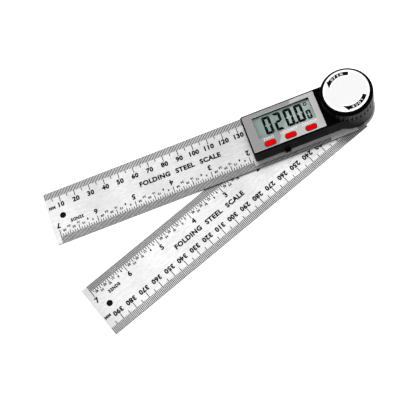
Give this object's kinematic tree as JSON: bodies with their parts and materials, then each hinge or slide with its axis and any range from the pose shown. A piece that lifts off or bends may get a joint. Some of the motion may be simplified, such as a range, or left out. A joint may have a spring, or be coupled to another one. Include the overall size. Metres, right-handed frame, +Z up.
{
  "type": "goniometer",
  "caption": "Digital angle ruler: two steel rulers pivoting under a housing with a display, push buttons, a battery drawer and a ribbed lock knob.",
  "frame": {"origin": "on the pivot axis, in the plane of the moving ruler's underside, where the stud's flush head lies", "axes": "+Z up along the pivot axis through the lock knob; the fixed ruler runs towards -X; the moving ruler lies below it, turned 20 degrees about +Z at rest"},
  "size_m": [0.2166, 0.1031, 0.0239],
  "materials": {
    "ruler_steel": "satin, fine lengthwise brushing",
    "dark_plastic": "fine moulded texture",
    "knob_plastic": "moulded, ribbed grip",
    "plate_metal": "satin grey with pale print",
    "window_clear": "clear, polished",
    "lcd_glass": "grey-green reflective display",
    "holder_plastic": "natural moulded plastic",
    "zebra_rubber": "striped silicone",
    "board_laminate": "green solder mask",
    "chip_epoxy": "matt epoxy",
    "fastener_steel": "plain zinc-plated steel",
    "contact_metal": "bright spring strip",
    "brass_turned": "turned brass",
    "washer_polymer": "slippery white polymer",
    "button_red": "bright red, smooth",
    "cell_steel": "bright nickel-plated can",
    "disc_white": "white printed disc"
  },
  "bodies": {
    "fixed_arm": {"fixed_ruler": "ruler_steel", "friction_washer": "washer_polymer", "pivot_stud": "fastener_steel", "housing_shell": "dark_plastic", "housing_screws": "fastener_steel", "faceplate": "plate_metal", "display_window": "window_clear", "lcd_panel": "lcd_glass", "lcd_holder": "holder_plastic", "zebra_strip": "zebra_rubber", "main_board": "board_laminate", "board_screws": "fastener_steel", "controller_chip": "chip_epoxy", "board_components": "chip_epoxy", "tact_switches": "contact_metal", "cell_contact_negative": "contact_metal", "cell_contact_positive": "contact_metal", "knob_retainer": "fastener_steel", "thrust_washer": "washer_polymer"},
    "moving_arm": {"moving_ruler": "ruler_steel", "rotor_hub": "brass_turned", "hub_rivets": "fastener_steel", "encoder_rotor": "board_laminate"},
    "zero_button": {"zero_button": "button_red"},
    "hold_button": {"hold_button": "button_red"},
    "power_button": {"power_button": "button_red"},
    "battery_drawer": {"battery_tray": "dark_plastic", "coin_cell": "cell_steel"},
    "lock_knob": {"knob_wheel": "knob_plastic", "knob_insert": "brass_turned", "knob_disc": "disc_white"}
  },
  "joints": [
    {"name": "arm_pivot", "type": "hinge", "parent": "fixed_arm", "child": "moving_arm", "pos_m": [0, 0, 0], "axis": [0, 0, 1], "continuous": true},
    {"name": "zero_press", "type": "slide", "parent": "fixed_arm", "child": "zero_button", "axis": [0, 0, -1], "range_m": [0, 0.0004], "stiffness_N_per_m": 400},
    {"name": "hold_press", "type": "slide", "parent": "fixed_arm", "child": "hold_button", "axis": [0, 0, -1], "range_m": [0, 0.0004], "stiffness_N_per_m": 400},
    {"name": "power_press", "type": "slide", "parent": "fixed_arm", "child": "power_button", "axis": [0, 0, -1], "range_m": [0, 0.0004], "stiffness_N_per_m": 400},
    {"name": "drawer_slide", "type": "slide", "parent": "fixed_arm", "child": "battery_drawer", "axis": [0, -1, 0], "range_m": [0, 0.023]},
    {"name": "knob_turn", "type": "hinge", "parent": "fixed_arm", "child": "lock_knob", "pos_m": [0, 0, 0.018], "axis": [0, 0, 1], "range_deg": [-45, 180]}
  ]
}
